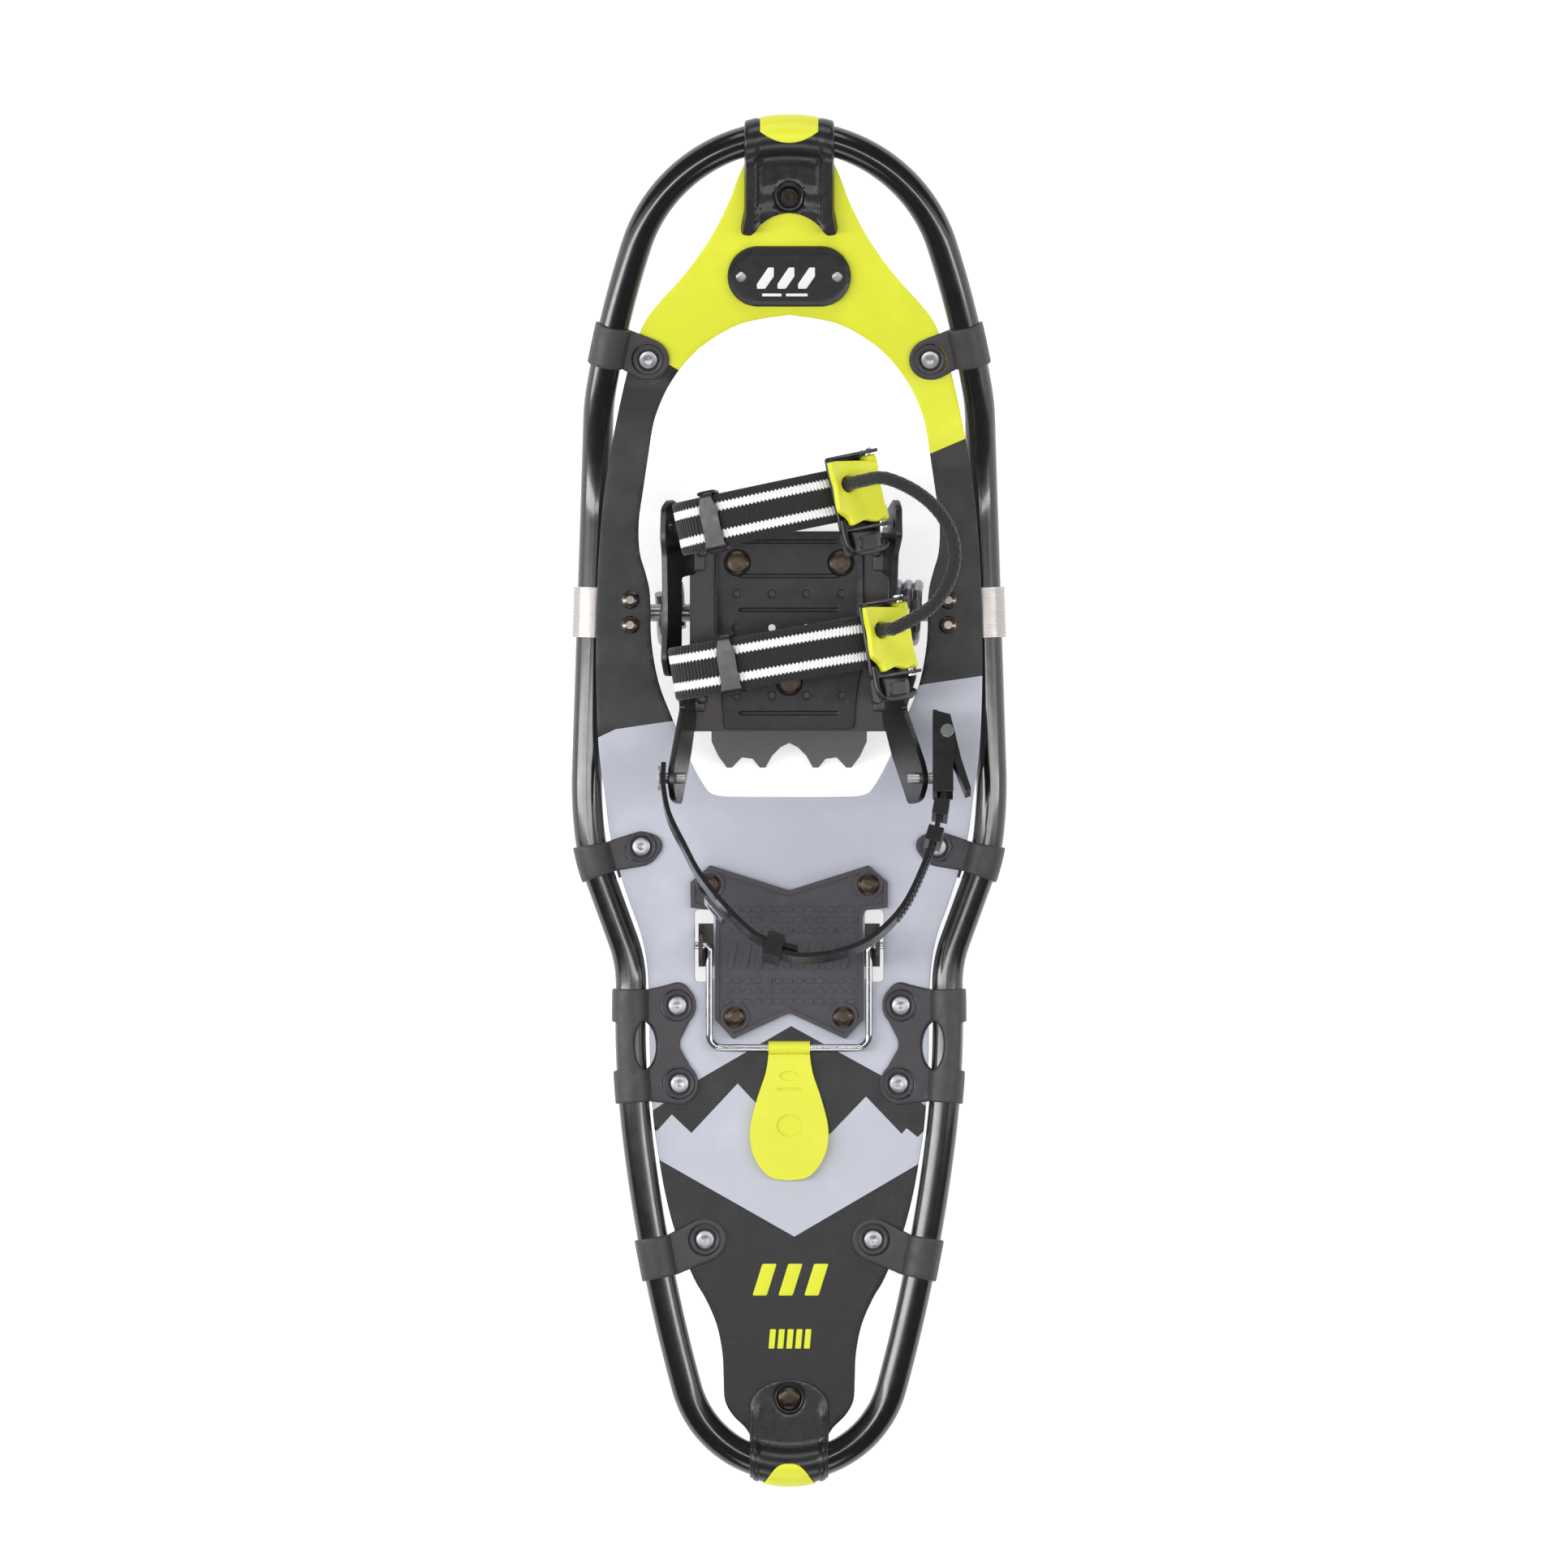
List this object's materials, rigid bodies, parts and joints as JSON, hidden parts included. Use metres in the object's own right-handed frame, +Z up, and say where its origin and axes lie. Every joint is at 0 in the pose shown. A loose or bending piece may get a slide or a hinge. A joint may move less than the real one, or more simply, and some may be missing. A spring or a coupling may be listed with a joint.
{
  "type": "snowshoe",
  "caption": "Tube-frame snowshoe: bent frame, sheet deck held by clips, pivoting binding with cam buckles and ratchet heel strap, toe and heel crampons, and a folding heel lift.",
  "frame": {"origin": "on the ground plane under the middle of the outline, at the points of the crampons", "axes": "+X to the right seen from above, +Y towards the toe, +Z up"},
  "size_m": [0.2018, 0.6352, 0.1202],
  "materials": {
    "frame_black": "gloss powder coat",
    "splice_metal": "plain",
    "deck_sheet": "woven sheet",
    "clip_plastic": "moulded, satin",
    "yellow_plastic": "moulded, satin",
    "rivet_metal": "satin",
    "dark_metal": "dark, satin",
    "band_metal": "ribbed",
    "axle_steel": "satin",
    "spring_steel": "satin",
    "crampon_steel": "dark nickel",
    "chrome_wire": "bright",
    "foot_plastic": "grained",
    "webbing": "woven",
    "cord_braid": "braided",
    "strap_rubber": "satin"
  },
  "bodies": {
    "frame": {"frame_tube": "frame_black", "frame_splice": "splice_metal", "deck": "deck_sheet", "toe_clip": "clip_plastic", "toe_clip_tab": "yellow_plastic", "toe_clip_screw": "dark_metal", "tail_clip": "clip_plastic", "tail_clip_tab": "yellow_plastic", "tail_rivet": "rivet_metal", "front_clip_left": "clip_plastic", "front_clip_right": "clip_plastic", "mid_clip_left": "clip_plastic", "mid_clip_right": "clip_plastic", "waist_clip_left": "clip_plastic", "waist_clip_right": "clip_plastic", "rear_clip_left": "clip_plastic", "rear_clip_right": "clip_plastic", "clip_rivets": "rivet_metal", "badge_plate": "clip_plastic", "badge_rivets": "rivet_metal", "pivot_band_left": "band_metal", "pivot_band_right": "band_metal", "deck_dome_rivets": "dark_metal", "pivot_axle": "axle_steel", "heel_plate": "clip_plastic", "heel_crampon": "crampon_steel", "heel_rivets": "rivet_metal"},
    "heel_lift": {"heel_lift_bail": "chrome_wire"},
    "lift_tab": {"heel_lift_tab": "yellow_plastic"},
    "front_lever": {"front_release": "yellow_plastic"},
    "rear_lever": {"rear_release": "yellow_plastic"},
    "heel_loop": {"heel_strap": "strap_rubber", "heel_strap_tail": "strap_rubber", "heel_keepers": "clip_plastic", "heel_hook": "chrome_wire", "ratchet_body": "clip_plastic", "ratchet_screw": "rivet_metal"},
    "ratchet_arm": {"ratchet_lever": "clip_plastic"},
    "binding": {"toe_crampon": "crampon_steel", "footbed": "foot_plastic", "footbed_rivets": "dark_metal", "pivot_springs": "spring_steel", "side_plate_left": "clip_plastic", "side_plate_right": "clip_plastic", "side_screws": "dark_metal", "front_strap": "webbing", "rear_strap": "webbing", "strap_keepers": "clip_plastic", "front_buckle": "clip_plastic", "rear_buckle": "clip_plastic", "buckle_pins": "rivet_metal", "pull_cord": "cord_braid", "heel_strap_rivets": "rivet_metal"}
  },
  "joints": [
    {"name": "binding_pivot", "type": "hinge", "parent": "frame", "child": "binding", "pos_m": [0, 0.088, 0.036], "axis": [-1, 0, 0], "range_deg": [0, 45], "stiffness_Nm_per_rad": 0.6},
    {"name": "heel_lift_hinge", "type": "hinge", "parent": "frame", "child": "heel_lift", "pos_m": [0, -0.0662, 0.0426], "axis": [-1, 0, 0], "range_deg": [0, 70]},
    {"name": "lift_tab_hinge", "type": "hinge", "parent": "heel_lift", "child": "lift_tab", "pos_m": [0, -0.11356, 0.04078], "axis": [-1, 0, 0], "range_deg": [0, 30]},
    {"name": "front_release_hinge", "type": "hinge", "parent": "binding", "child": "front_lever", "pos_m": [0.03913, 0.14482, 0.08813], "axis": [-0.2079, 0.9781, 0], "range_deg": [0, 55], "deforming": ["pull_cord"]},
    {"name": "rear_release_hinge", "type": "hinge", "parent": "binding", "child": "rear_lever", "pos_m": [0.05286, 0.07694, 0.09694], "axis": [-0.1668, 0.986, 0], "range_deg": [0, 55], "deforming": ["pull_cord"]},
    {"name": "heel_strap_swing", "type": "hinge", "parent": "binding", "child": "heel_loop", "pos_m": [0, 0.0113, 0.088], "axis": [-1, 0, 0], "range_deg": [0, 35]},
    {"name": "ratchet_lever_hinge", "type": "hinge", "parent": "heel_loop", "child": "ratchet_arm", "pos_m": [0.0726, 0.03093, 0.08418], "axis": [0, 0.1908, 0.9816], "range_deg": [0, 70]}
  ],
  "couplings": [
    {"joint": "rear_release_hinge", "follows": "front_release_hinge", "ratio": 1}
  ]
}
